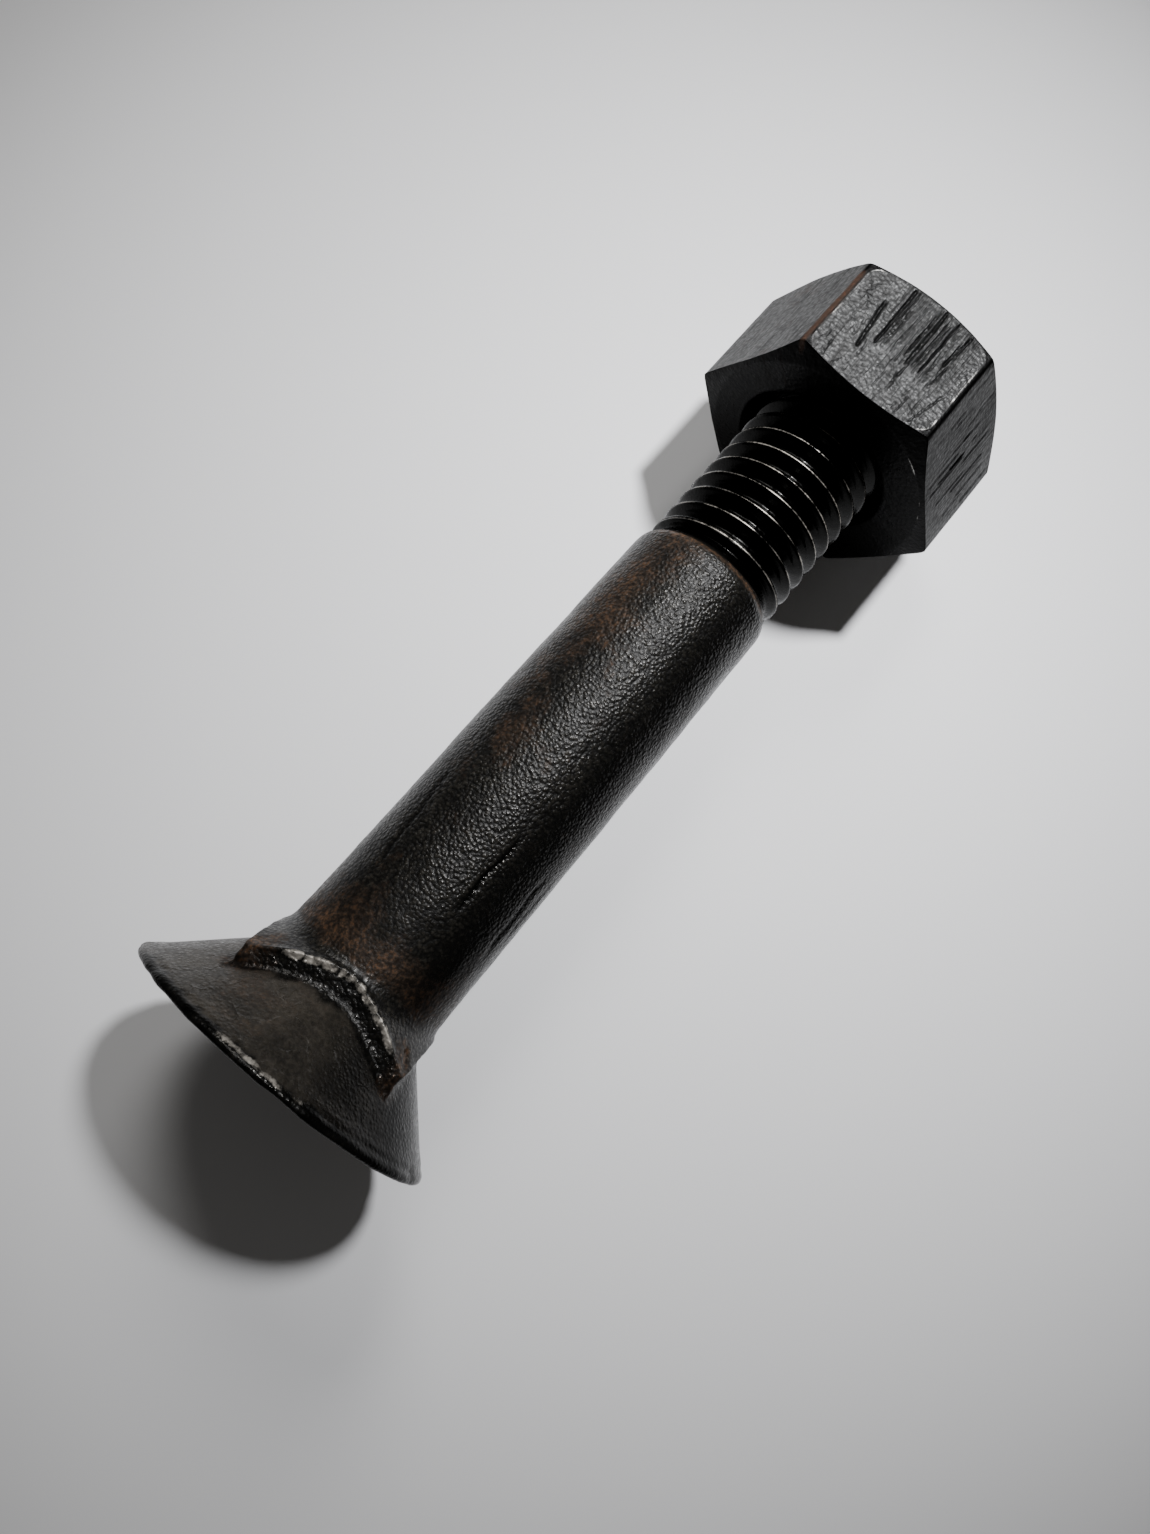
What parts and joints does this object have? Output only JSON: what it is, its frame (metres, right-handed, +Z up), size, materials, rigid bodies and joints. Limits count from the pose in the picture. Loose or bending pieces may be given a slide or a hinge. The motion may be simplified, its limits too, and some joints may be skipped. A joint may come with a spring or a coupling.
{
  "type": "plow bolt with hex nut",
  "caption": "Steel plow bolt with a round countersunk head, a square neck, a coarse thread and a thick hex nut run on near its end.",
  "frame": {"origin": "on the surface that the bolt lies on, under the middle of its length", "axes": "+X from the head towards the bolt's end, +Z up; the bolt's axis lies in the XZ plane and falls slightly towards the nut"},
  "size_m": [0.1022, 0.033, 0.0328],
  "materials": {
    "bolt_steel": "black oxide and mill scale, worn bright on edges and crests, with light rust",
    "nut_steel": "black oxide, scratched grey on its flats"
  },
  "bodies": {
    "bolt": {"bolt": "bolt_steel"},
    "nut": {"nut": "nut_steel"}
  },
  "joints": [
    {"name": "nut_travel", "type": "slide", "parent": "bolt", "child": "nut", "axis": [0.9996, 0, -0.0291], "range_m": [-0.01616, 0.02078]}
  ]
}
